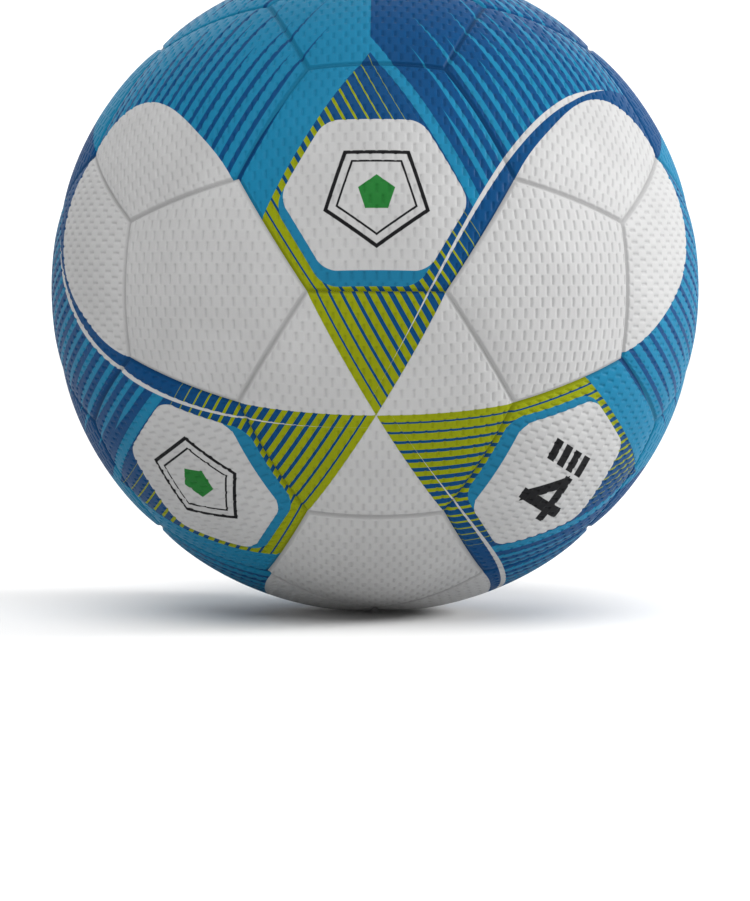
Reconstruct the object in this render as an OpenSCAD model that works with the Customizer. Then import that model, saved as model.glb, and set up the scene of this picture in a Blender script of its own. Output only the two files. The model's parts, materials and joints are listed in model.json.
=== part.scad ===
// Size 4 football: 32 cover panels on foam and textile, an inflated bladder,
// and a valve whose plug pulls out.
// Origin at the ball's centre, +Z up, front towards -Y. Millimetres.

/* [Ball] */
// Outside diameter of the inflated ball
ball_d = 206; // [202:0.5:210]

/* [Cover panels] */
// Thickness of the printed cover skin
skin_t = 0.9; // [0.7:0.1:1.2]
// Thickness of the skin's turned-in edge
edge_t = 0.8; // [0.6:0.1:1]
// Gap between two turned-in edges where they meet in a seam
seam_gap = 0.3; // [0.2:0.05:0.5]
// Half width of the groove that a seam makes in the ball's face
groove_w = 0.9; // [0.6:0.1:1.4]
// Depth of that groove
groove_d = 1.1; // [0.6:0.1:1.4]

/* [Padding and lining] */
// Thickness of the foam under the skin
foam_t = 2.6; // [2:0.1:3.2]
// Thickness of the textile lining under the foam
lining_t = 0.8; // [0.6:0.1:1.2]

/* [Seam thread] */
// Diameter of the thread that runs along the foot of every seam
thread_d = 0.7; // [0.5:0.1:0.8]

/* [Bladder] */
// Wall of the inflated bladder
bladder_t = 0.8; // [0.6:0.1:1.2]
// Diameter of the balance patch opposite the valve
balance_d = 30; // [24:1:36]
// Thickness of the balance patch
balance_t = 1.2; // [0.8:0.1:1.6]

/* [Valve] */
// Outside diameter of the valve's neck, seen as a ring in the cover
neck_d = 7.8; // [7:0.2:9]
// Diameter of the flange that bonds the valve to the bladder
flange_d = 28; // [24:1:32]
// Thickness of that flange
flange_t = 1.2; // [1:0.1:1.6]
// Diameter of the plug's head
head_d = 6; // [5.4:0.2:6.4]
// Height of the plug's head
head_h = 1.5; // [1.2:0.1:2]
// Diameter of the plug's shank
shank_d = 4.4; // [4:0.1:4.8]
// Length of the plug below its head
shank_l = 20.6; // [18:0.2:24]
// Diameter of the channel for an inflating needle
needle_d = 2.1; // [2.05:0.05:2.3]
// Depth of that channel, measured from the foot of its countersink
needle_l = 13; // [10:0.5:15]
// How far the neck and the plug sit below the ball's face
valve_recess = 0.6; // [0.4:0.1:1]

/* [Hidden] */
ball_r = ball_d / 2;
layer_gap = 0.1;      // between two layers of the ball's wall
valve_gap = 0.1;      // between the neck and the holes that it passes
plug_gap = 0.05;      // radial clearance of the plug in the neck
overshoot = 2;        // how far a cutter runs past what it cuts

// Radii of the wall's layers, from the face inwards
foam_r = ball_r - skin_t - layer_gap;
lining_r = foam_r - foam_t - layer_gap;
edge_foot_r = lining_r - lining_t - layer_gap;
thread_r = edge_foot_r - layer_gap / 2 - thread_d / 2;
bladder_r = thread_r - thread_d / 2 - layer_gap;
bladder_in_r = bladder_r - bladder_t;
flange_r = bladder_in_r - layer_gap;
neck_top = ball_r - valve_recess;
hole_r = neck_d / 2 + valve_gap;
plug_foot = neck_top - head_h - shank_l;
countersink_d = 1.8 * needle_d;
countersink_h = 0.8;

// The cover is a truncated icosahedron blown up to a sphere. Its pentagons lie on the
// twelve corners of an icosahedron and its hexagons on the centres of its twenty faces.
phi = (1 + sqrt(5)) / 2;
function unit(v) = v / norm(v);
function between(a, b) = acos(max(-1, min(1, unit(a) * unit(b))));

PENTAGONS = [for (i = [0:2], s = [-1, 1], t = [-1, 1])
    unit([for (k = [0:2]) [0, s, t * phi][(k + i) % 3]])];
nearby = 45;          // two panels that share an edge have their centres closer than this
apart = 65;           // and two neighbouring pentagons, which share none, closer than this
function joined(a, b) = a != b && between(a, b) < apart;
HEXAGONS = [for (i = [0:9], j = [i + 1:10], k = [j + 1:11])
    let (a = PENTAGONS[i], b = PENTAGONS[j], c = PENTAGONS[k])
    if (joined(a, b) && joined(b, c) && joined(a, c)) unit(a + b + c)];

// The print has two star panels, one at each end of this axis. Around each one come
// three white pentagons and three badge panels, and the rest make the belt between.
star_axis = [0, -phi, -1 / phi];
function off_star(c) = min(between(c, star_axis), between(c, -star_axis));
valve_axis = unit([1 / phi, 0, phi]);

STARS = [for (c = HEXAGONS) if (off_star(c) < 1) c];
BADGES = [for (c = HEXAGONS) if (off_star(c) > 1 && off_star(c) < nearby) c];
FLANKS = [for (c = HEXAGONS) if (off_star(c) > nearby && between(c, valve_axis) > 1) c];
WHITES = [for (c = PENTAGONS) if (off_star(c) < nearby) c];
BLUES = [for (c = PENTAGONS) if (off_star(c) > nearby) c];

// A corner where two hexagons meet a pentagon, and the angles from the centres of the
// hexagon and the pentagon to the middle of their edges
around = [for (p = PENTAGONS) if (between(p, HEXAGONS[0]) < nearby) p];
corner = unit(2 * around[0] + around[1]);
hex_reach = atan(tan(between(HEXAGONS[0], corner)) * cos(180 / 6));
pent_reach = atan(tan(between(around[0], corner)) * cos(180 / 5));

function names(stem, list) = [for (i = [0:len(list) - 1]) str(stem, "_", i + 1)];

NODES = concat(
    names("star_hexagon", STARS), names("badge_hexagon", BADGES),
    names("flank_hexagon", FLANKS), ["valve_hexagon"],
    names("white_pentagon", WHITES), names("blue_pentagon", BLUES),
    ["foam_hexagons", "foam_pentagons", "lining_hexagons", "lining_pentagons",
     "seam_thread", "bladder", "balance_patch", "valve_housing", "valve_plug"]);
node = "all";
fine = 144;           // segments of the ball's own curves
small = 48;           // segments of the valve's and the thread's curves

// Stands its children on direction c, with their +X turned towards direction e.
module stand_on(c, e) {
    z = unit(c);
    x = unit(e - (e * z) * z);
    y = cross(z, x);
    multmatrix([[x[0], y[0], z[0], 0], [x[1], y[1], z[1], 0], [x[2], y[2], z[2], 0], [0, 0, 0, 1]])
        children();
}

// Stands a panel on its centre, its first edge towards one of the hexagons beside it.
module at_panel(c) {
    beside = [for (h = HEXAGONS) if (between(h, c) > 1 && between(h, c) < nearby) h];
    stand_on(c, beside[0]) children();
}

// The solid angle of a panel: a pyramid with its point near the ball's centre, each
// side drawn back by inset.
module pyramid(sides, reach, inset) {
    span = 2 * ball_r;
    intersection_for (k = [0:sides - 1])
        rotate([0, 0, k * 360 / sides]) rotate([0, reach, 0])
            translate([-span - inset, -span, -span]) cube([span, 2 * span, 2 * span]);
}

// The part of a spherical shell that lies in a panel's pyramid.
module shell_piece(sides, reach, outer, inner, inset) {
    difference() {
        intersection() {
            sphere(outer, $fn = fine);
            pyramid(sides, reach, inset);
        }
        sphere(inner, $fn = fine);
    }
}

// The groove along each edge of a panel, a V cut round the ball.
module edge_grooves(sides, reach) {
    rise = 0.5;
    half_w = groove_w * (groove_d + rise) / groove_d;
    for (k = [0:sides - 1])
        rotate([0, 0, k * 360 / sides]) rotate([0, 90 + reach, 0])
            rotate_extrude($fn = fine)
                polygon([[ball_r - groove_d, 0], [ball_r + rise, -half_w], [ball_r + rise, half_w]]);
}

// A cover panel: a skin with its edges turned in, open underneath for foam and lining.
module cover_panel(sides, reach) {
    difference() {
        shell_piece(sides, reach, ball_r, edge_foot_r, seam_gap / 2);
        shell_piece(sides, reach, ball_r - skin_t, edge_foot_r - overshoot, seam_gap / 2 + edge_t);
        edge_grooves(sides, reach);
    }
}
module hexagon(c) at_panel(c) cover_panel(6, hex_reach);
module pentagon(c) at_panel(c) cover_panel(5, pent_reach);

// One layer under every panel of a kind, fitting inside the turned-in edges.
module layer(centres, sides, reach, outer, thickness) {
    difference() {
        for (c = centres)
            at_panel(c)
                shell_piece(sides, reach, outer, outer - thickness, seam_gap / 2 + edge_t + layer_gap);
        valve_hole(edge_t + layer_gap);
    }
}

// Places its children along the valve's axis, +Z outwards.
module on_valve() stand_on(valve_axis, [0, 1, 0]) children();
module valve_hole(wider = 0)
    on_valve() translate([0, 0, plug_foot])
        cylinder(r = hole_r + wider, h = ball_r - plug_foot + overshoot, $fn = small);

module star_hexagon(i) color("yellowgreen") hexagon(STARS[i]);
module badge_hexagon(i) color("gainsboro") hexagon(BADGES[i]);
module flank_hexagon(i) color("steelblue") hexagon(FLANKS[i]);
module white_pentagon(i) color("white") pentagon(WHITES[i]);
module blue_pentagon(i) color("midnightblue") pentagon(BLUES[i]);
// The skin is turned in round the valve's hole too, half as deep as the foam.
module valve_hexagon() color("steelblue") difference() {
    union() {
        hexagon(valve_axis);
        on_valve() translate([0, 0, foam_r - foam_t / 2])
            cylinder(r = hole_r + edge_t, h = (foam_t + skin_t) / 2, $fn = small);
    }
    valve_hole();
}

module foam_hexagons() color("lightyellow") layer(HEXAGONS, 6, hex_reach, foam_r, foam_t);
module foam_pentagons() color("lightyellow") layer(PENTAGONS, 5, pent_reach, foam_r, foam_t);
module lining_hexagons() color("beige") layer(HEXAGONS, 6, hex_reach, lining_r, lining_t);
module lining_pentagons() color("beige") layer(PENTAGONS, 5, pent_reach, lining_r, lining_t);

// The thread along one seam, from corner a to corner b, clear of the next runs.
module thread_run(a, b) {
    sweep = between(a, b) - 2 * atan(thread_d * 1.5 / thread_r);
    stand_on(cross(a, b), a + b)
        rotate([0, 0, -sweep / 2]) rotate_extrude(angle = sweep, $fn = fine)
            translate([thread_r, 0]) circle(d = thread_d, $fn = small);
}
module seam_thread() color("whitesmoke") {
    for (p = PENTAGONS, q = PENTAGONS) if (joined(p, q)) {
        a = unit(2 * p + q);
        if (p < q) thread_run(a, unit(p + 2 * q));
        for (r = PENTAGONS)
            if (joined(p, r) && joined(q, r) && q < r) thread_run(a, unit(2 * p + r));
    }
}

module bladder() color("dimgray") difference() {
    sphere(bladder_r, $fn = fine);
    sphere(bladder_in_r, $fn = fine);
    valve_hole();
}

// A round cap of the shell just inside the bladder, along its children's +Z.
module inner_cap(d, thickness) {
    difference() {
        intersection() {
            sphere(flange_r, $fn = fine);
            cylinder(d = d, h = ball_r, $fn = small);
        }
        sphere(flange_r - thickness, $fn = fine);
    }
}
module balance_patch() color("dimgray") stand_on(-valve_axis, [0, 1, 0]) inner_cap(balance_d, balance_t);

module valve_housing() color("black") on_valve() difference() {
    union() {
        inner_cap(flange_d, flange_t);
        translate([0, 0, plug_foot]) cylinder(d = neck_d, h = neck_top - plug_foot, $fn = small);
    }
    translate([0, 0, plug_foot - overshoot])
        cylinder(d = shank_d + 2 * plug_gap, h = ball_r, $fn = small);
    translate([0, 0, neck_top - head_h])
        cylinder(d = head_d + 2 * plug_gap, h = ball_r, $fn = small);
}

module valve_plug() color("black") on_valve() difference() {
    union() {
        translate([0, 0, plug_foot]) cylinder(d = shank_d, h = shank_l + head_h, $fn = small);
        translate([0, 0, neck_top - head_h]) cylinder(d = head_d, h = head_h, $fn = small);
    }
    translate([0, 0, neck_top - countersink_h - needle_l])
        cylinder(d = needle_d, h = ball_r, $fn = small);
    translate([0, 0, neck_top - countersink_h])
        cylinder(d1 = needle_d, d2 = countersink_d, h = countersink_h + 0.01, $fn = small);
}

function wanted(name) = node == "all" || node == name;
for (i = [0:len(STARS) - 1]) if (wanted(str("star_hexagon_", i + 1))) star_hexagon(i);
for (i = [0:len(BADGES) - 1]) if (wanted(str("badge_hexagon_", i + 1))) badge_hexagon(i);
for (i = [0:len(FLANKS) - 1]) if (wanted(str("flank_hexagon_", i + 1))) flank_hexagon(i);
if (wanted("valve_hexagon")) valve_hexagon();
for (i = [0:len(WHITES) - 1]) if (wanted(str("white_pentagon_", i + 1))) white_pentagon(i);
for (i = [0:len(BLUES) - 1]) if (wanted(str("blue_pentagon_", i + 1))) blue_pentagon(i);
if (wanted("foam_hexagons")) foam_hexagons();
if (wanted("foam_pentagons")) foam_pentagons();
if (wanted("lining_hexagons")) lining_hexagons();
if (wanted("lining_pentagons")) lining_pentagons();
if (wanted("seam_thread")) seam_thread();
if (wanted("bladder")) bladder();
if (wanted("balance_patch")) balance_patch();
if (wanted("valve_housing")) valve_housing();
if (wanted("valve_plug")) valve_plug();
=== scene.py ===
import json
import math

import bmesh
import bpy
import numpy as np
from mathutils import Euler, Matrix, Vector


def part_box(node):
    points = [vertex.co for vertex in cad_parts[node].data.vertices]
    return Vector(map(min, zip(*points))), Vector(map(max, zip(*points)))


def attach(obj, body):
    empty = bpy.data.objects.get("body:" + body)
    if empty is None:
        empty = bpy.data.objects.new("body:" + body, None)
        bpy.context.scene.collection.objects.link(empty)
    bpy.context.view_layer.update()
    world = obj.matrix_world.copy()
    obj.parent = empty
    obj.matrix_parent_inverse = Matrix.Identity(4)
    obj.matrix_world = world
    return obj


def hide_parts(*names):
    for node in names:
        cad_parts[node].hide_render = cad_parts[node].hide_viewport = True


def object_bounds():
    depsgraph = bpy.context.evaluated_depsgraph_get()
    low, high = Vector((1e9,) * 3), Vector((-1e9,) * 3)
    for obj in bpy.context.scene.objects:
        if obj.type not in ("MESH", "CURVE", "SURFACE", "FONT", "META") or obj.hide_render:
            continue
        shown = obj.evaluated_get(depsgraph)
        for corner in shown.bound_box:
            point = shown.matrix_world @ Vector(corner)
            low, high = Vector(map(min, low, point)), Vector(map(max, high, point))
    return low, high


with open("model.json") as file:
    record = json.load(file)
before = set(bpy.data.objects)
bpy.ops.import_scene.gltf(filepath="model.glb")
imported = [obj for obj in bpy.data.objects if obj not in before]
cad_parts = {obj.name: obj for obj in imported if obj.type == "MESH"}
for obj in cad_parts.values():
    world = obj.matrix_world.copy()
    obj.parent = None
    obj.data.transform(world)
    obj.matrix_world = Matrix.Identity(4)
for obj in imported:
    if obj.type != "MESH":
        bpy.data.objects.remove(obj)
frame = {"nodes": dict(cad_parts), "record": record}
CAD_LOW, CAD_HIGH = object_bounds()

# ---------------------------------------------------------------- the ball
PHI = (1 + math.sqrt(5)) / 2
BALL_R = (CAD_HIGH.z - CAD_LOW.z) / 2
MM = 0.001

# Cover panels
SKIN_T = 0.9 * MM
EDGE_T = 0.8 * MM
EDGE_DEPTH = 4.4 * MM  # how far the turned-in edges reach down
HALF_GAP = 0.02 * MM  # half the gap between two panels
SEAM_FLOOR = 0.28 * MM  # half width of the groove's floor along a seam
SEAM_W = 1.15 * MM  # half width of the whole groove
SEAM_DEPTH = 0.5 * MM
CORNER_SOFTNESS = 0.22 * MM
PILLOW = 0.9 * MM  # how much a panel's face drops towards its seams
PILLOW_REACH = 7.0 * MM
EDGE_ROWS = 6
EDGE_ROW_POWER = 1.2  # crowds the rows towards the seam
EDGE_MARGIN = 0.2 * MM  # the grid starts this far outside a panel
EDGE_SNAP = 0.02 * MM  # vertices this near to an edge's cut are taken as on it
ROW_SNAP = 0.01 * MM  # and the same for a row's cut
ROW_NEAR = 0.8 * MM  # a row cuts the faces whose middles are within this
CORNER_REACH = 1.32  # a pentagon's corners lie within this many times its edge's distance
UNDERSIDE_RINGS = (0.72, 0.6, 0.4)  # each ring of the underside against the one before

# Embossed slots: columns side by side, every other slot in a column half a step along
SLOT_COLUMN = 1.87 * MM
SLOT_ROW = 3.31 * MM
SLOT_DEPTH = 0.28 * MM
ACROSS = (0.15 * MM, 0.40 * MM, 0.62 * MM)  # floor, half-way up and rim of a slot's side
ALONG = (0.45 * MM, 1.22 * MM, 1.55 * MM)  # middle, floor's end and rim of a slot's end
SLOT_FREE = 0.5 * MM  # slots start this far from a seam
SLOT_FADE = 1.1 * MM  # and reach their full depth over this width

# Valve
HOLE_R = 4.0 * MM
HOLE_ROUNDING = 0.35 * MM
LIP_ROWS = 4
HOLE_BLEND = 2.6  # the grid is bent out to this many half widths of the hole


def unit(v):
    v = np.asarray(v, float)
    return v / np.linalg.norm(v)


def smooth(t):
    """Eases 0..1 in and out."""
    return t * t * (3 - 2 * t)


def between(a, b):
    """Angle between two unit vectors."""
    return math.acos(max(-1.0, min(1.0, float(np.dot(a, b)))))


def turn(axis, angle):
    return np.array(Matrix.Rotation(angle, 3, Vector(axis)))


def panel_frame(centre, towards):
    """Rows: right, up (towards the given direction) and outwards, as seen from outside."""
    up = unit(towards - centre * np.dot(centre, towards))
    return np.array([np.cross(up, centre), up, centre])


# ---------------------------------------------------------------- where the print repeats
STAR = unit((0, -PHI, -1 / PHI))
BADGE = unit((-1, -1, -1))
WHITE = unit((-1, -PHI, 0))
WHITE_BELOW = unit((0, -1, -PHI))
BLUE = unit((-PHI, 0, -1))
PATTERNS = {
    "star": STAR,
    "badge": BADGE,
    "white": WHITE,
    "blue": BLUE,
    "navy_flank": unit((-PHI, -1 / PHI, 0)),
    "cyan_flank": unit((-1 / PHI, 0, -PHI)),
}
THIRD = turn(STAR, 2 * math.pi / 3)
if between(THIRD @ WHITE, WHITE_BELOW) > 0.01:
    THIRD = THIRD.T
HALF_TURN = np.diag((1.0, -1.0, -1.0))
COPIES = [
    np.linalg.matrix_power(THIRD, k) @ h for h in (np.eye(3), HALF_TURN) for k in range(3)
]


def panel_of(node):
    """Centre of the panel that a node holds, its pattern and the turn that brings it there."""
    low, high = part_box(node)
    seen = unit((low + high) / 2)
    return min(
        ((copy @ c, name, copy) for copy in COPIES for name, c in PATTERNS.items()),
        key=lambda found: round(between(found[0], seen), 4),
    )


# ---------------------------------------------------------------- layout of the print, in degrees
OUTSIDE = -90.0  # what a field holds before anything is inside it
BADGE_FRAME = panel_frame(BADGE, STAR)
WHITE_FRAMES = (panel_frame(WHITE, STAR), panel_frame(WHITE_BELOW, STAR))


def flat(frame_rows, n):
    """Degrees right and up of a panel's centre."""
    across, up, out = frame_rows @ n.T
    ring = np.hypot(across, up)
    reach = np.degrees(np.arctan2(ring, out)) / np.maximum(ring, 1e-9)
    return across * reach, up * reach


def direction(frame_rows, across, up):
    """Unit vector at a place in degrees right and up of a panel's centre."""
    reach = math.radians(math.hypot(across, up))
    way = math.atan2(up, across)
    return (
        math.sin(reach) * (math.cos(way) * frame_rows[0] + math.sin(way) * frame_rows[1])
        + math.cos(reach) * frame_rows[2]
    )


def beyond(n, a, b, side=None):
    """Degrees to the left of the great circle from a to b, or towards side."""
    normal = unit(np.cross(a, b))
    if side is not None and np.dot(normal, side) < 0:
        normal = -normal
    return np.degrees(np.arcsin(np.clip(n @ normal, -1, 1)))


def corner(a, b):
    """The panel corner next to pentagon a, on the way to pentagon b."""
    return unit(2 * a + b)


PETAL_TOP = 37.377  # from a white pentagon's centre to the star's
PETAL_SHOULDER = (11.8, 16.2)  # the pentagon's upper corner
PETAL_FOOT = (19.1, -6.2)  # its lower corner
PETAL_WIDE = 20.9  # half width at its widest place
PETAL_MIDDLE = -19.5  # height of that place
PETAL_LENGTH = 24.0  # from there to the rounded end
PETAL_POWER = 2.6  # how square the end is
NARROW_SIDE = 0.95  # its left side against its right side
PETAL_SLANT = 0.93  # its edge runs at a slant, so it is this much nearer than across


def petal_half_width(up, full):
    """Half width of a white petal at a height above its pentagon's centre."""
    bulge = np.clip(1 - np.abs((up - PETAL_MIDDLE) / PETAL_LENGTH) ** PETAL_POWER, 0, 1)
    bulge = full * bulge ** (1 / PETAL_POWER)
    (x1, y1), (x2, y2) = PETAL_SHOULDER, PETAL_FOOT
    side = x2 + (x1 - x2) * (up - y2) / (y1 - y2)
    tip = x1 * (PETAL_TOP - up) / (PETAL_TOP - y1)
    return np.where(up > y1, tip, np.where(up > y2, side, bulge))


def petal(n):
    """Degrees inside the nearer white petal."""
    best = np.full(len(n), OUTSIDE)
    for rows in WHITE_FRAMES:
        across, up = flat(rows, n)
        full = np.where(across > 0, PETAL_WIDE, PETAL_WIDE * NARROW_SIDE)
        inside = petal_half_width(up, full) - np.abs(across)
        best = np.maximum(best, inside * PETAL_SLANT)
    return best


# The white curve beside a petal
SWOOSH = (20.8801, -0.27612, -0.0072421, 0.000043712)  # centre line, powers of the height
SWOOSH_TOP = 34.0
SWOOSH_TOP_TAPER = 32.0  # it widens over about this height
SWOOSH_TAPER_POWER = 1.7  # and more slowly at first
SWOOSH_END = -41.0
SWOOSH_END_TAPER = 12.0  # it narrows again over this height
SWOOSH_FULL = 1.15  # full width


def swoosh(n):
    """Degrees outside the middle of the white curve along a petal, and its half width."""
    across, up = flat(WHITE_FRAMES[0], n)
    line = np.polynomial.polynomial.polyval(up, SWOOSH)
    slope = np.polynomial.polynomial.polyval(up, np.polynomial.polynomial.polyder(SWOOSH))
    below = np.maximum(SWOOSH_TOP - up, 0) / SWOOSH_TOP_TAPER
    half = SWOOSH_FULL / 2 * (1 - np.exp(-(below**SWOOSH_TAPER_POWER)))
    half = half * np.clip((up - SWOOSH_END) / SWOOSH_END_TAPER, 0, 1)
    return (across - line) / np.sqrt(1 + slope**2), np.where(up > SWOOSH_END, half, -1)


def rounded_hexagon(across, up, reaches, rounding):
    """Degrees inside a hexagon whose sides face 90, 30, -30, -90, -150 and 150 degrees."""
    total = 0
    for way, reach in zip((90, 30, -30, -90, -150, 150), reaches):
        way = math.radians(way)
        out = across * math.cos(way) + up * math.sin(way) - (reach - rounding)
        total = total + np.maximum(out, 0) ** 2
    return rounding - np.sqrt(total)


# How far the sides of a badge's white patch and blue border lie from the panel's centre
PATCH = (17.4, 16.4, 11.9, 8.85, 10.9, 16.2)
PATCH_ROUNDING = 2.0
BORDER = (20.06, 17.95, 11.9, 8.85, 10.9, 16.1)
BORDER_ROUNDING = 2.3
# Two points of each line where a blue starts, right and up of a badge's centre
CYAN_LINE = ((20.2, 9.2), (6.1, -15.6))
NAVY_LINE = ((-1.7, -19.0), (-15.5, 4.9))


def stripes(n, pattern):
    """Degrees into the striped field from the edge that its stripes follow."""
    if pattern == "star":
        return beyond(n, STAR, corner(WHITE_BELOW, WHITE), side=BADGE)
    return beyond(n, corner(WHITE_BELOW, WHITE), corner(WHITE_BELOW, BLUE), side=BADGE)


def star_petal(n):
    """On the star panel the petals are the wedges between its striped triangles."""
    a = beyond(n, STAR, corner(WHITE_BELOW, WHITE), side=BADGE)
    b = beyond(n, STAR, corner(WHITE, WHITE_BELOW), side=BADGE)
    return -np.minimum(a, b)


def print_fields(n, pattern):
    """Smooth fields that the print is cut from, for directions n on the ball."""
    if pattern == "star":
        turns = np.array([n @ np.linalg.matrix_power(THIRD, k) for k in range(3)])
        nearest = np.argmax(turns @ BADGE, axis=0)
        n = turns[nearest, np.arange(len(n))]
    across, up = flat(BADGE_FRAME, n)
    offset, half = swoosh(n)
    ends = [direction(BADGE_FRAME, *p) for p in CYAN_LINE + NAVY_LINE]
    return {
        "petal": star_petal(n) if pattern == "star" else petal(n),
        "swoosh": offset,
        "swoosh_half": half,
        "stripe": stripes(n, pattern),
        "cyan": beyond(n, ends[0], ends[1]),
        "navy": beyond(n, ends[2], ends[3]),
        "border": rounded_hexagon(across, up, BORDER, BORDER_ROUNDING),
        "patch": rounded_hexagon(across, up, PATCH, PATCH_ROUNDING),
        "across": across,
        "up": up,
    }


# ---------------------------------------------------------------- panel shapes
def reach_of(sides):
    """Angle from a panel's centre to the middle of its edge."""
    near = corner(WHITE, WHITE_BELOW)
    centre = STAR if sides == 6 else WHITE
    return math.atan(math.tan(between(centre, near)) * math.cos(math.pi / sides))


def edge_normals(sides, tilt):
    """Inward normals of the planes through the ball's centre that bound a panel."""
    reach = reach_of(sides)
    ways = [math.pi / 2 + tilt + 2 * math.pi * k / sides for k in range(sides)]
    return [
        np.array((-math.cos(reach) * math.cos(w), -math.cos(reach) * math.sin(w), math.sin(reach)))
        for w in ways
    ]


def slot_lines(step, parts, reach):
    """Grid lines that follow the sides of every slot out to reach."""
    count = int(reach / step) + 1
    offsets = [s * p for p in parts for s in (-1, 1)]
    lines = [k * step + o for k in range(-count, count + 1) for o in offsets]
    return np.array(sorted(lines))


def slot_depth(x, y):
    """Depth of the embossing, 0 to 1, at a place on the flat of a panel."""
    column = np.round(x / SLOT_COLUMN)
    side = np.abs(x - column * SLOT_COLUMN)
    period = 2 * SLOT_ROW
    shifted = y - SLOT_ROW * np.mod(column, 2)
    end = np.abs(shifted - np.round(shifted / period) * period)
    side_floor, _, side_rim = ACROSS
    _, end_floor, end_rim = ALONG
    sides = np.clip((side_rim - side) / (side_rim - side_floor), 0, 1)
    ends = np.clip((end_rim - end) / (end_rim - end_floor), 0, 1)
    return smooth(sides) * smooth(ends)


def on_ball(x, y):
    """Points of the ball at flat places x, y round the +Z pole."""
    ring = np.hypot(x, y)
    angle = ring / BALL_R
    scale = np.where(ring > 1e-9, np.sin(angle) / np.maximum(ring, 1e-9), 1 / BALL_R)
    return BALL_R * np.stack((x * scale, y * scale, np.cos(angle)), axis=-1)


def off_ball(p):
    """Flat places of points round the +Z pole."""
    ring = np.hypot(p[:, 0], p[:, 1])
    arc = np.arctan2(ring, p[:, 2]) * BALL_R / np.maximum(ring, 1e-12)
    return p[:, 0] * arc, p[:, 1] * arc


def from_edge(p, normals):
    """Distance of points from the nearest edge, rounded off in the corners."""
    away = np.array([p @ m for m in normals])
    least = away.min(axis=0)
    spread = np.exp(-np.clip((away - least) / CORNER_SOFTNESS, 0, 50)).sum(axis=0)
    return least - CORNER_SOFTNESS * np.log(spread) - HALF_GAP


def make_hole(x, y, xs, ys, keep):
    """Bends the grid round the valve's hole and drops the cells inside it."""
    half = HOLE_R + HOLE_ROUNDING
    half_x = xs[np.argmin(np.abs(xs - half))]
    half_y = ys[np.argmin(np.abs(ys - half))]
    size = np.maximum(np.abs(x) / half_x, np.abs(y) / half_y)
    ring = np.hypot(x, y)
    square = ring / np.maximum(size, 1e-9)
    fade = np.clip((HOLE_BLEND - size) / (HOLE_BLEND - 1), 0, 1)
    factor = 1 + (half - square) * fade / np.maximum(ring, 1e-9)
    cell = np.maximum.reduce([size[:-1, :-1], size[1:, :-1], size[:-1, 1:], size[1:, 1:]])
    return x * factor, y * factor, keep & (cell > 1 + 1e-6)


def grid_mesh(sides, tilt, with_hole):
    """Grid over a panel, aligned with its slots, on the ball's face round the +Z pole."""
    normals = edge_normals(sides, tilt)
    reach = CORNER_REACH * reach_of(sides) * BALL_R
    xs = slot_lines(SLOT_COLUMN, ACROSS, reach)
    ys = slot_lines(SLOT_ROW, ALONG, reach)
    x, y = np.meshgrid(xs, ys, indexing="ij")
    away = np.min([on_ball(x, y) @ m for m in normals], axis=0)
    inside = away > -EDGE_MARGIN
    keep = inside[:-1, :-1] | inside[1:, :-1] | inside[:-1, 1:] | inside[1:, 1:]
    if with_hole:
        x, y, keep = make_hole(x, y, xs, ys, keep)
    index = np.arange(x.size).reshape(x.shape)
    quads = np.stack((index[:-1, :-1], index[1:, :-1], index[1:, 1:], index[:-1, 1:]), axis=-1)
    quads = quads[keep]
    used, quads = np.unique(quads, return_inverse=True)
    mesh = bpy.data.meshes.new("grid")
    mesh.from_pydata(on_ball(x, y).reshape(-1, 3)[used], [], quads.reshape(-1, 4))
    bm = bmesh.new()
    bm.from_mesh(mesh)
    bpy.data.meshes.remove(mesh)
    return bm, normals


def cut_rows(bm, normals):
    """Trims the grid at its edges and cuts the rows that the rounding of an edge needs."""
    steps = [k / EDGE_ROWS for k in range(1, EDGE_ROWS + 1)]
    rows = [HALF_GAP + SEAM_W * step**EDGE_ROW_POWER for step in steps]
    for m in normals:
        m = Vector(m)
        bmesh.ops.bisect_plane(
            bm, geom=bm.verts[:] + bm.edges[:] + bm.faces[:], dist=EDGE_SNAP,
            plane_co=m * HALF_GAP, plane_no=m, clear_inner=True,
        )
    for m in normals:
        m = Vector(m)
        for row in rows:
            faces = [f for f in bm.faces if abs(f.calc_center_median().dot(m) - row) < ROW_NEAR]
            edges = list({e for f in faces for e in f.edges})
            verts = list({v for f in faces for v in f.verts})
            bmesh.ops.bisect_plane(
                bm, geom=verts + edges + faces, dist=ROW_SNAP,
                plane_co=m * row, plane_no=m,
            )


def shape_face(p, normals):
    """Sinks points of the ball's face into pillow, rounded edge and slots."""
    edge = from_edge(p, normals)
    rise = np.clip((edge - SEAM_FLOOR) / (SEAM_W - SEAM_FLOOR), 0, 1)
    drop = SEAM_DEPTH * (1 - smooth(rise))
    drop = drop + PILLOW * np.exp(-np.maximum(edge, 0) / PILLOW_REACH)
    x, y = off_ball(p)
    fade = np.clip((edge - SLOT_FREE) / SLOT_FADE, 0, 1)
    slots = slot_depth(x, y) * fade
    drop = drop + SLOT_DEPTH * slots
    return p * ((BALL_R - drop) / np.linalg.norm(p, axis=1))[:, None], edge, slots


def extend(bm, edges, place):
    """Extrudes open edges and moves the new row with place()."""
    made = bmesh.ops.extrude_edge_only(bm, edges=edges)["geom"]
    verts = [g for g in made if isinstance(g, bmesh.types.BMVert)]
    for v in verts:
        v.co = place(v.co)
    return [g for g in made if isinstance(g, bmesh.types.BMEdge)]


def towards_middle(scale, radius):
    """Moves a point towards the +Z pole by scale, onto a sphere of that radius."""
    def place(co):
        return Vector((co.x * scale, co.y * scale, co.z)).normalized() * radius
    return place


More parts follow.
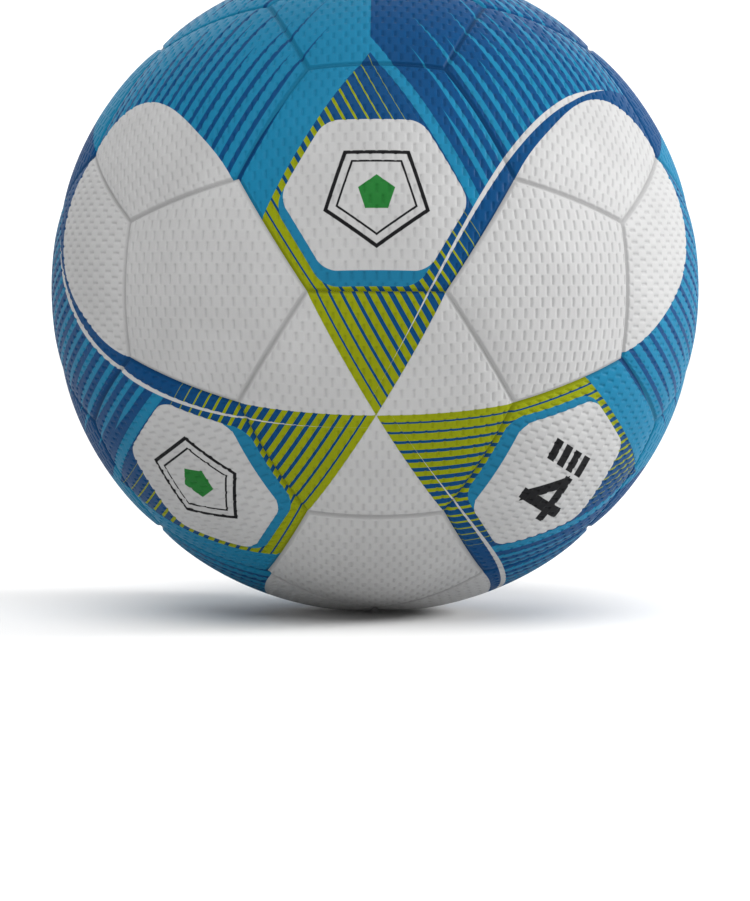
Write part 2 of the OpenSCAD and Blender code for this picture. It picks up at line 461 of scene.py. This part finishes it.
def close_underside(bm, rim, reach):
    """Turned-in edge, and the skin's underside as rings that close in the middle."""
    foot = BALL_R - EDGE_DEPTH
    under = BALL_R - SKIN_T - PILLOW
    inwards = 1 - EDGE_T / (BALL_R * math.tan(reach))
    edges = extend(bm, rim, lambda co: co.normalized() * foot)
    edges = extend(bm, edges, towards_middle(inwards, foot))
    edges = extend(bm, edges, lambda co: co.normalized() * under)
    for scale in UNDERSIDE_RINGS:
        edges = extend(bm, edges, towards_middle(scale, under))
    return edges, under


def close_hole(bm, rim, under):
    """Rounded lip and wall of the valve's hole, down to the underside."""
    top = max(e.verts[0].co.length for e in rim)
    edges = rim
    for k in range(1, LIP_ROWS + 1):
        t = math.pi / 2 * k / LIP_ROWS
        ring = HOLE_R + HOLE_ROUNDING * (1 - math.sin(t))
        height = top - HOLE_ROUNDING * (1 - math.cos(t))
        edges = extend(bm, edges, ring_place(ring, height))
    return extend(bm, edges, ring_place(HOLE_R, under))


def ring_place(ring, radius):
    """Moves a point onto a ring round the +Z axis, on a sphere of that radius."""
    def place(co):
        scale = ring / math.hypot(co.x, co.y)
        return Vector((co.x * scale, co.y * scale, math.sqrt(radius**2 - ring**2)))
    return place


SHAPES = {}


def panel_shape(sides, tilt, with_hole):
    """Mesh of a panel round the +Z pole, with its edge distance and slots, made once."""
    key = (sides, round(math.degrees(tilt)), with_hole)
    if key in SHAPES:
        return SHAPES[key]
    bm, normals = grid_mesh(sides, tilt, with_hole)
    cut_rows(bm, normals)
    open_edges = [e for e in bm.edges if e.is_boundary]
    lip = [e for e in open_edges if math.hypot(*e.verts[0].co.xy) < 2 * HOLE_R]
    rim = [e for e in open_edges if e not in set(lip)]
    points = np.array([v.co for v in bm.verts])
    shaped, edge, slots = shape_face(points, normals)
    for v, co in zip(bm.verts, shaped):
        v.co = co
    edges, under = close_underside(bm, rim, reach_of(sides))
    if with_hole:
        hole_edges = close_hole(bm, lip, under)
        bmesh.ops.bridge_loops(bm, edges=edges + hole_edges)
    else:
        middle = bm.verts.new((0, 0, under))
        for e in edges:
            bm.faces.new((e.verts[0], e.verts[1], middle))
    bmesh.ops.recalc_face_normals(bm, faces=bm.faces[:])
    mesh = bpy.data.meshes.new("panel_shape")
    bm.to_mesh(mesh)
    bm.free()
    co = np.zeros(len(mesh.vertices) * 3)
    mesh.vertices.foreach_get("co", co)
    co = co.reshape(-1, 3)
    fields = {"edge": np.full(len(co), -1.0), "slot": np.zeros(len(co))}
    fields["edge"][: len(edge)] = edge / MM
    fields["slot"][: len(edge)] = slots
    SHAPES[key] = (mesh, co, fields)
    return SHAPES[key]


def slot_direction(pattern, copy):
    """The way a panel's slots run: up, or towards the star or the white petal."""
    if pattern == "badge":
        return copy @ STAR
    if pattern == "navy_flank":
        return copy @ WHITE
    if pattern == "cyan_flank":
        return copy @ WHITE_BELOW
    return np.array((0.0, 0.0, 1.0))


NEIGHBOUR_NEAR = {5: math.radians(6), 6: math.radians(38)}
NEIGHBOUR_FAR = {5: math.radians(38), 6: math.radians(45)}


def tilt_of(rows, centre, sides):
    """Angle from the slots' direction to the nearest edge, found from a hexagon beside it."""
    step = 2 * math.pi / sides
    near, far = NEIGHBOUR_NEAR[sides], NEIGHBOUR_FAR[sides]
    others = [copy @ c for copy in COPIES for c in PATTERNS.values()]
    beside = [c for c in others if near < between(c, centre) < far]
    x, y, _ = rows @ beside[0]
    tilt = (math.atan2(y, x) - math.pi / 2) % step
    return tilt - step if tilt > step / 2 + 1e-3 else tilt


def set_fields(mesh, fields):
    for name, values in fields.items():
        layer = mesh.attributes.new(name, "FLOAT", "POINT")
        layer.data.foreach_set("value", np.asarray(values, np.float32))


def cover_panel(node, material):
    """The detailed cover panel that stands for a CAD panel."""
    centre, pattern, copy = panel_of(node)
    sides = 5 if pattern in ("white", "blue") else 6
    rows = panel_frame(centre, slot_direction(pattern, copy))
    tilt = tilt_of(rows, centre, sides)
    shape, co, own_fields = panel_shape(sides, tilt, node == "valve_hexagon")
    mesh = shape.copy()
    mesh.name = "cover_" + node
    placed = co @ rows
    mesh.vertices.foreach_set("co", placed.ravel())
    mesh.polygons.foreach_set("use_smooth", [True] * len(mesh.polygons))
    out = placed / np.linalg.norm(placed, axis=1)[:, None]
    set_fields(mesh, print_fields(out @ copy, pattern))
    set_fields(mesh, own_fields)
    mesh.materials.append(material)
    mesh.update()
    obj = bpy.data.objects.new("cover_" + node, mesh)
    bpy.context.scene.collection.objects.link(obj)
    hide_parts(node)
    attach(obj, "ball")
    return obj


# ---------------------------------------------------------------- node helpers
NOISE_RANGE = (0.3, 0.7)  # most of a noise's values lie in this


class Nodes:
    """Short ways to add nodes to a material."""

    def __init__(self, name):
        self.material = bpy.data.materials.new(name)
        self.material.use_nodes = True
        self.tree = self.material.node_tree
        self.tree.nodes.clear()
        self.shader = self.tree.nodes.new("ShaderNodeBsdfPrincipled")
        output = self.tree.nodes.new("ShaderNodeOutputMaterial")
        self.tree.links.new(self.shader.outputs[0], output.inputs[0])

    def put(self, value, socket):
        if isinstance(value, bpy.types.NodeSocket):
            self.tree.links.new(value, socket)
        else:
            socket.default_value = value

    def math(self, operation, a, b=0.0, c=0.0):
        """A sum on values or sockets."""
        node = self.tree.nodes.new("ShaderNodeMath")
        node.operation = operation
        for value, socket in zip((a, b, c), node.inputs):
            self.put(value, socket)
        return node.outputs[0]

    def field(self, name):
        """One of the print's fields or the panel's own, stored at the mesh's points."""
        node = self.tree.nodes.new("ShaderNodeAttribute")
        node.attribute_name = name
        return node.outputs["Fac"]

    def place(self):
        return self.tree.nodes.new("ShaderNodeTexCoord").outputs["Object"]

    def noise(self, scale, detail=3.0, roughness=0.55):
        node = self.tree.nodes.new("ShaderNodeTexNoise")
        self.put(self.place(), node.inputs["Vector"])
        node.inputs["Scale"].default_value = scale
        node.inputs["Detail"].default_value = detail
        node.inputs["Roughness"].default_value = roughness
        return node.outputs["Fac"]

    def step(self, value, softness=0.02):
        """0 where value is below zero, 1 above, with a soft edge."""
        node = self.tree.nodes.new("ShaderNodeMapRange")
        node.interpolation_type = "SMOOTHSTEP"
        self.put(value, node.inputs["Value"])
        node.inputs["From Min"].default_value = -softness
        node.inputs["From Max"].default_value = softness
        return node.outputs["Result"]

    def span(self, value, low, high, to_low, to_high):
        """Maps low..high to to_low..to_high."""
        node = self.tree.nodes.new("ShaderNodeMapRange")
        for v, name in zip((value, low, high, to_low, to_high),
                           ("Value", "From Min", "From Max", "To Min", "To Max")):
            self.put(v, node.inputs[name])
        return node.outputs["Result"]

    def mix(self, mask, under, over):
        """Colour under where the mask is 0, over where it is 1."""
        node = self.tree.nodes.new("ShaderNodeMix")
        node.data_type = "RGBA"
        self.put(mask, node.inputs[0])
        for value, socket in ((under, node.inputs[6]), (over, node.inputs[7])):
            self.put(value if isinstance(value, bpy.types.NodeSocket) else (*value, 1), socket)
        return node.outputs[2]

    def bump(self, height, strength, distance):
        node = self.tree.nodes.new("ShaderNodeBump")
        node.inputs["Strength"].default_value = strength
        node.inputs["Distance"].default_value = distance
        self.put(height, node.inputs["Height"])
        self.tree.links.new(node.outputs[0], self.shader.inputs["Normal"])

    def rough(self, scale, detail, least, most):
        """Roughness that wanders between two values."""
        self.put(self.span(self.noise(scale, detail), *NOISE_RANGE, least, most),
                 self.shader.inputs["Roughness"])


# ---------------------------------------------------------------- printed cover
INK_WHITE = (0.385, 0.385, 0.385)
INK_LIME = (0.195, 0.225, 0.003)
INK_NAVY = (0.002, 0.043, 0.132)
INK_CYAN = (0.008, 0.142, 0.258)
INK_BORDER = (0.010, 0.130, 0.235)
INK_BLACK = (0.008, 0.008, 0.009)
INK_GREEN = (0.014, 0.130, 0.024)

# The skin under the print; a noise's scale is in waves per metre
SLOT_PAINTED_SHADE = 0.07  # painted shade: how much darker the print is made in the slots
SEAM_PAINTED_SHADE = 0.22  # and in the seams
SEAM_PAINTED_SHADE_REACH = (0.3, 1.1)  # mm from the seam, from full painted shade to none
CLOUD_SCALE = 45.0
CLOUD_SHADE = 0.10
WHITE_CLOUD_SCALE = 30.0
WHITE_CLOUD = 0.985
GLOSS_SCALE = 900.0
SATIN = (0.44, 0.56)  # least and most roughness
SPECULAR = 0.045
GRAIN_SCALE = 2600.0
GRAIN_STRENGTH = 0.25
GRAIN_DEPTH = 0.05 * MM

STRIPE_STEP = 1.8
STRIPE_FIRST = 1.45
STRIPE_THIN = 0.25  # width that the stripes would have at the field's edge
STRIPE_GROWTH = 0.05  # and how much wider they get per degree
STREAK_SHUFFLE = 0.618  # makes neighbouring streaks differ in length
STREAK_LENGTHS = (0.5, 0.7)  # shortest streak, and how much longer the longest is
STREAK_EDGE = 0.06  # softness of their edges
CYAN_ZONE_STREAKS = {"first": 7.3, "step": 2.5, "wide": 0.95, "length": 30.0}
NAVY_ZONE_STREAKS = {"first": 4.2, "step": 2.4, "wide": 1.05, "length": 27.0}
NAVY_BAND = 2.0  # width of the cyan band that the navy starts with


def nearest_line(g, value, first, step):
    """Distance of value from the nearest of the lines first + k * step."""
    shifted = g.math("DIVIDE", g.math("SUBTRACT", value, first), step)
    part = g.math("SUBTRACT", shifted, g.math("ROUND", shifted))
    return g.math("MULTIPLY", g.math("ABSOLUTE", part), step)


def striped(g):
    """Lime with navy stripes that grow until the lime is gone."""
    field = g.field("stripe")
    half = g.math("MULTIPLY_ADD", field, STRIPE_GROWTH / 2, STRIPE_THIN / 2)
    away = nearest_line(g, field, STRIPE_FIRST, STRIPE_STEP)
    return g.mix(g.step(g.math("SUBTRACT", half, away)), INK_LIME, INK_NAVY)


def streaks(g, field, along, first, step, wide, length):
    """Mask of streaks along lines of a field, each tapering out over its last half."""
    shifted = g.math("DIVIDE", g.math("SUBTRACT", field, first), step)
    number = g.math("ROUND", shifted)
    away = g.math("MULTIPLY", g.math("ABSOLUTE", g.math("SUBTRACT", shifted, number)), step)
    uneven = g.math("FRACT", g.math("MULTIPLY", number, STREAK_SHUFFLE))
    shortest, spread = STREAK_LENGTHS
    end = g.math("MULTIPLY_ADD", uneven, length * spread, length * shortest)
    taper = g.math("SUBTRACT", 1.0, g.math("DIVIDE", along, end))
    taper = g.math("MINIMUM", g.math("MAXIMUM", taper, -1.0), 0.5)
    half = g.math("MULTIPLY", taper, wide)
    started = g.step(g.math("SUBTRACT", field, first - step / 2))
    return g.math("MULTIPLY", g.step(g.math("SUBTRACT", half, away), STREAK_EDGE), started)


def cyan_zone(g, under):
    """Cyan with navy streaks, beyond the cyan line."""
    field = g.field("cyan")
    along = g.math("SUBTRACT", 0.0, g.field("petal"))
    mask = streaks(g, field, along, **CYAN_ZONE_STREAKS)
    return g.mix(g.step(field), under, g.mix(mask, INK_CYAN, INK_NAVY))


def navy_zone(g, under):
    """A cyan band, then navy with cyan streaks, beyond the navy line."""
    field = g.field("navy")
    thin = streaks(g, field, g.field("swoosh"), **NAVY_ZONE_STREAKS)
    band = g.step(g.math("SUBTRACT", NAVY_BAND, field))
    lines = g.math("MULTIPLY", g.math("MAXIMUM", thin, band), g.step(g.field("swoosh")))
    inked = g.mix(lines, INK_NAVY, INK_CYAN)
    inside = g.math("MINIMUM", field, g.math("SUBTRACT", field, g.field("cyan")))
    return g.mix(g.step(inside), under, inked)


def bordered(g, under):
    """The blue border round a badge's patch, up to the cyan line."""
    inside = g.math("MINIMUM", g.field("border"), g.math("SUBTRACT", 0.0, g.field("cyan")))
    return g.mix(g.step(inside), under, INK_BORDER)


def white_curve(g, under):
    inside = g.math("SUBTRACT", g.field("swoosh_half"), g.math("ABSOLUTE", g.field("swoosh")))
    return g.mix(g.step(inside), under, INK_WHITE)


def bar(g, middle, half, lean):
    """Degrees inside a bar of the badge, its sides leaning by lean."""
    across = g.math("SUBTRACT", g.field("across"), middle[0])
    up = g.math("SUBTRACT", g.field("up"), middle[1])
    across = g.math("MULTIPLY_ADD", up, -lean, across)
    return g.math("MINIMUM",
                  g.math("SUBTRACT", half[0], g.math("ABSOLUTE", across)),
                  g.math("SUBTRACT", half[1], g.math("ABSOLUTE", up)))


def pentagon_reach(g, middle, upwards):
    """Distance from the middle of the badge's mark, measured in pentagons."""
    across = g.math("SUBTRACT", g.field("across"), middle[0])
    up = g.math("SUBTRACT", g.field("up"), middle[1])
    most = OUTSIDE
    for k in range(5):
        way = math.pi * (upwards / 2 + 2 * k / 5)
        out = g.math("MULTIPLY_ADD", up, math.sin(way), g.math("MULTIPLY", across, math.cos(way)))
        most = g.math("MAXIMUM", out, most)
    return most


MARK_EDGE = 0.05  # softness of a mark's edge
MARK_MIDDLE = (0.0, 4.5)
MARK_LINES = ((7.2, 0.32), (5.6, 0.18))  # reach and half width of each pentagon outline
MARK_HEART = 2.6  # reach of the green pentagon


def pentagon_mark(g, under):
    """A generic mark: two pentagon outlines round a small green one."""
    reach = pentagon_reach(g, MARK_MIDDLE, -1)
    inside = OUTSIDE
    for line, half in MARK_LINES:
        away = g.math("ABSOLUTE", g.math("SUBTRACT", reach, line))
        inside = g.math("MAXIMUM", g.math("SUBTRACT", half, away), inside)
    under = g.mix(g.step(inside, MARK_EDGE), under, INK_BLACK)
    heart = g.math("SUBTRACT", MARK_HEART, pentagon_reach(g, MARK_MIDDLE, 1))
    return g.mix(g.step(heart, MARK_EDGE), under, INK_GREEN)


LEAN = 0.26  # how much the size mark leans
STROKE_LEAN = 0.8  # and how much less its sloping stroke does
SIZE_BARS = (  # middle, half size and lean of the crossbar, the stem and the sloping stroke
    ((-4.6, 4.0), (1.1, 6.0), LEAN),
    ((-3.3, 1.6), (4.8, 1.1), LEAN),
    ((-1.5, 5.5), (1.3, 3.9), LEAN - STROKE_LEAN),
)
BLOCKS = (8.4, 5.6, 2.8, 0.0)  # heights of the blocks
BLOCK_LINE = 3.9
BLOCK_HALF = (2.0, 0.95)


def size_mark(g, under):
    """The size number 4, built of bars, with a row of plain blocks beside it."""
    inside = OUTSIDE
    for middle, half, lean in SIZE_BARS:
        inside = g.math("MAXIMUM", bar(g, middle, half, lean), inside)
    for up in BLOCKS:
        block = bar(g, (BLOCK_LINE + LEAN * up, up), BLOCK_HALF, LEAN)
        inside = g.math("MAXIMUM", block, inside)
    return g.mix(g.step(inside, MARK_EDGE), under, INK_BLACK)


MARKS = {"pentagon": pentagon_mark, "size": size_mark}
MARK_ORDER = ("pentagon", "size", "pentagon")  # round each star


def printed_cover(name, pattern, mark=None):
    """Satin TPU skin with the print of one kind of panel."""
    g = Nodes(name)
    if pattern == "white":
        greyer = tuple(c * WHITE_CLOUD for c in INK_WHITE)
        color = g.mix(g.noise(WHITE_CLOUD_SCALE), greyer, INK_WHITE)
    else:
        color = striped(g)
    if pattern == "badge":
        color = bordered(g, color)
    if pattern in ("badge", "navy_flank", "cyan_flank", "blue"):
        color = cyan_zone(g, color)
        color = navy_zone(g, color)
    if pattern == "badge":
        color = g.mix(g.step(g.field("patch")), color, INK_WHITE)
        color = MARKS[mark](g, color)
    if pattern != "white":
        color = g.mix(g.step(g.field("petal")), color, INK_WHITE)
    if pattern in ("star", "badge", "navy_flank"):
        color = white_curve(g, color)
    finish_cover(g, color)
    return g.material


def finish_cover(g, color):
    """Grain, faint unevenness, and painted shade in the slots and seams."""
    cloudy = g.span(g.noise(CLOUD_SCALE, 4.0), *NOISE_RANGE, 0.0, CLOUD_SHADE)
    # Painted shade: the print is darkened in the slots, added to the cloudy tone
    shade = g.math("MULTIPLY_ADD", g.field("slot"), SLOT_PAINTED_SHADE, cloudy)
    # Painted shade: the print is darkened towards black in the seams' grooves
    seam = g.span(g.field("edge"), *SEAM_PAINTED_SHADE_REACH, SEAM_PAINTED_SHADE, 0.0)
    color = g.mix(g.math("ADD", shade, seam), color, (0.0, 0.0, 0.0))
    g.put(color, g.shader.inputs["Base Color"])
    g.rough(GLOSS_SCALE, 2.0, *SATIN)
    g.shader.inputs["Specular IOR Level"].default_value = SPECULAR
    g.bump(g.noise(GRAIN_SCALE, 2.0), GRAIN_STRENGTH, GRAIN_DEPTH)


# ---------------------------------------------------------------- inner parts
DUST_SCALE = 60.0
DUST_RANGE = (0.45, 0.75)  # noise values from no dust to the most
DUST_MOST = 0.25
DUST_GREY = (0.10, 0.10, 0.10)
WELD = 0.001 * MM
BEVEL = 0.2 * MM
BEVEL_ANGLE = math.radians(35)


def soft_layer(name, color, dark, scale, depth):
    """Foam or textile: cells or threads too fine to model."""
    g = Nodes(name)
    cells = g.noise(scale, 5.0, 0.7)
    g.put(g.mix(cells, dark, color), g.shader.inputs["Base Color"])
    g.put(g.span(cells, *NOISE_RANGE, 0.75, 0.95), g.shader.inputs["Roughness"])
    g.bump(cells, 0.6, depth)
    return g.material


def rubber(name, color, scale):
    """Moulded rubber with a fine matt grain and paler, dusty patches."""
    g = Nodes(name)
    dust = g.span(g.noise(DUST_SCALE, 4.0), *DUST_RANGE, 0.0, DUST_MOST)
    g.put(g.mix(dust, color, DUST_GREY), g.shader.inputs["Base Color"])
    g.rough(scale, 3.0, 0.42, 0.62)
    g.bump(g.noise(scale * 3, 3.0), 0.35, 0.06 * MM)
    return g.material


def soften_edges(obj):
    """Rounds the moulded edges of a CAD node."""
    obj.modifiers.new("weld", "WELD").merge_threshold = WELD
    bevel = obj.modifiers.new("bevel", "BEVEL")
    bevel.width = BEVEL
    bevel.segments = 3
    bevel.limit_method = "ANGLE"
    bevel.angle_limit = BEVEL_ANGLE


def dress_inner_nodes():
    """Materials of the pieces that the CAD shapes are good enough for."""
    foam = soft_layer("foam_cells", color=(0.80, 0.77, 0.66), dark=(0.62, 0.59, 0.48),
                      scale=2200.0, depth=0.2 * MM)
    cloth = soft_layer("lining_weave", color=(0.74, 0.70, 0.60), dark=(0.50, 0.47, 0.40),
                       scale=1400.0, depth=0.15 * MM)
    cord = soft_layer("waxed_thread", color=(0.80, 0.80, 0.76), dark=(0.60, 0.60, 0.56),
                      scale=1800.0, depth=0.1 * MM)
    butyl = rubber("butyl_bladder", color=(0.03, 0.03, 0.032), scale=700.0)
    valve = rubber("valve_rubber", color=(0.018, 0.018, 0.02), scale=1100.0)
    looks = {
        "foam_hexagons": foam, "foam_pentagons": foam,
        "lining_hexagons": cloth, "lining_pentagons": cloth,
        "seam_thread": cord, "bladder": butyl, "balance_patch": butyl,
        "valve_housing": valve, "valve_plug": valve,
    }
    for node, material in looks.items():
        mesh = frame["nodes"][node].data
        mesh.materials.clear()
        mesh.materials.append(material)
    for node in ("valve_housing", "valve_plug"):
        soften_edges(frame["nodes"][node])


# ---------------------------------------------------------------- cover
def cover_nodes():
    """The CAD nodes of the cover panels, without the layers under them."""
    panels = [n for n in sorted(frame["nodes"]) if "hexagon" in n or "pentagon" in n]
    return [n for n in panels if not n.startswith(("foam", "lining"))]


def dress_panels():
    """A detailed, printed panel for each CAD panel of the cover."""
    materials = {
        name: printed_cover("cover_" + name, name)
        for name in PATTERNS
        if name != "badge"
    }
    marked = {
        mark: printed_cover("cover_badge_" + mark, "badge", mark) for mark in MARKS
    }
    for node in cover_nodes():
        centre, pattern, copy = panel_of(node)
        if pattern == "badge":
            turn_number = [c is copy for c in COPIES].index(True)
            material = marked[MARK_ORDER[turn_number % len(MARK_ORDER)]]
        else:
            material = materials[pattern]
        cover_panel(node, material)
        slot_of(node)


def slot_of(node):
    """The material slot that the record gives a node."""
    for part in frame["record"]["subparts"]:
        if part["node"] == node:
            return part["material_slot"]


# ---------------------------------------------------------------- camera, floor and light
DISTANCE = 13.0 * BALL_R
LENS = 168.0
SENSOR = 36.0
RISE = 0.1806  # how far the ball stands above the middle of the view, in long sides
CAMERA_TURN = (-0.6, -0.1, -0.25)  # degrees it goes round the ball, about x, y and z
FLOOR_R = 3.5
WALL_H = 0.8
RING_SIDES = 96
PINHOLE = 0.0001  # radius where the floor's rings start
FLOOR_GREY = 0.70
WALL_GREY = 0.5
PAINT_CLOUD = 1.03  # how much paler the paint gets in places
ROOM_LIGHT = 0.42
WALL_LIGHT = 0.55
TOP_LIGHT = 2.8
TOP_FROM = (0.0, -0.55, 1.0)
BACK_LIGHT = 1.5
BACK_FROM = (0.0, 1.0, 0.6)
SOFTNESS = math.radians(60)  # how wide a sun's disc is
SIDE_LIGHT = 24.0
SIDE_SIZE = 0.4
SIDE_FROM = (1.45, 0.1, 0.5)


def make_camera():
    """The photo's view: from the front, with the ball high in the frame."""
    data = bpy.data.cameras.new("camera")
    data.lens = LENS
    data.sensor_width = SENSOR
    data.shift_y = -RISE
    camera = bpy.data.objects.new("camera", data)
    middle = (CAD_LOW + CAD_HIGH) / 2
    turn = Euler([math.radians(angle) for angle in CAMERA_TURN]).to_matrix()
    camera.location = middle + turn @ Vector((0, -DISTANCE, 0))
    camera.rotation_euler = (turn @ Euler((math.pi / 2, 0, 0)).to_matrix()).to_euler()
    bpy.context.scene.collection.objects.link(camera)
    bpy.context.scene.camera = camera


def ring_surface(name, profile, material):
    """A surface of revolution round the world's vertical axis."""
    ways = [2 * math.pi * k / RING_SIDES for k in range(RING_SIDES)]
    bm = bmesh.new()
    rings = [
        [bm.verts.new((r * math.cos(a), r * math.sin(a), z)) for a in ways] for r, z in profile
    ]
    for inner, outer in zip(rings, rings[1:]):
        for k in range(RING_SIDES):
            bm.faces.new((inner[k - 1], outer[k - 1], outer[k], inner[k]))
    mesh = bpy.data.meshes.new(name)
    bm.to_mesh(mesh)
    bm.free()
    mesh.polygons.foreach_set("use_smooth", [True] * len(mesh.polygons))
    mesh.materials.append(material)
    surface = bpy.data.objects.new(name, mesh)
    bpy.context.scene.collection.objects.link(surface)


def studio_paint(name, grey, glow):
    """Matt paint, faintly cloudy, that may glow."""
    g = Nodes(name)
    paler = PAINT_CLOUD * grey
    g.put(g.mix(g.noise(3.0), (grey,) * 3, (paler,) * 3), g.shader.inputs["Base Color"])
    g.rough(8.0, 3.0, 0.8, 0.9)
    g.shader.inputs["Emission Color"].default_value = (1, 1, 1, 1)
    g.shader.inputs["Emission Strength"].default_value = glow
    return g.material


def make_floor():
    """A pale floor, and a pale lit wall round it."""
    level = CAD_LOW.z
    ring_surface("floor", [(PINHOLE, level), (FLOOR_R, level)],
                 studio_paint("floor_paint", FLOOR_GREY, 0.0))
    ring_surface("backdrop", [(FLOOR_R, level), (FLOOR_R, level + WALL_H)],
                 studio_paint("backdrop_paint", WALL_GREY, WALL_LIGHT))


def make_key(name, comes_from, strength):
    """A sun with a wide disc."""
    data = bpy.data.lights.new(name, "SUN")
    data.energy = strength
    data.angle = SOFTNESS
    key = bpy.data.objects.new(name, data)
    key.rotation_euler = Vector(comes_from).to_track_quat("Z", "Y").to_euler()
    bpy.context.scene.collection.objects.link(key)


def make_side_light():
    """A small lamp that brings out the slots on the right."""
    data = bpy.data.lights.new("side_light", "AREA")
    data.size = SIDE_SIZE
    data.energy = SIDE_LIGHT
    light = bpy.data.objects.new("side_light", data)
    light.location = SIDE_FROM
    light.rotation_euler = Vector(SIDE_FROM).to_track_quat("Z", "Y").to_euler()
    light.visible_camera = False
    bpy.context.scene.collection.objects.link(light)


def make_lights():
    """Soft lights above, behind and to the right, and the even light of a pale room."""
    world = bpy.data.worlds.new("studio")
    world.use_nodes = True
    world.node_tree.nodes["Background"].inputs[0].default_value = (1, 1, 1, 1)
    world.node_tree.nodes["Background"].inputs[1].default_value = ROOM_LIGHT
    bpy.context.scene.world = world
    make_key("top_light", TOP_FROM, TOP_LIGHT)
    make_key("back_light", BACK_FROM, BACK_LIGHT)
    make_side_light()
    bpy.context.scene.view_settings.view_transform = "Standard"


make_camera()
dress_panels()
dress_inner_nodes()
make_floor()
make_lights()
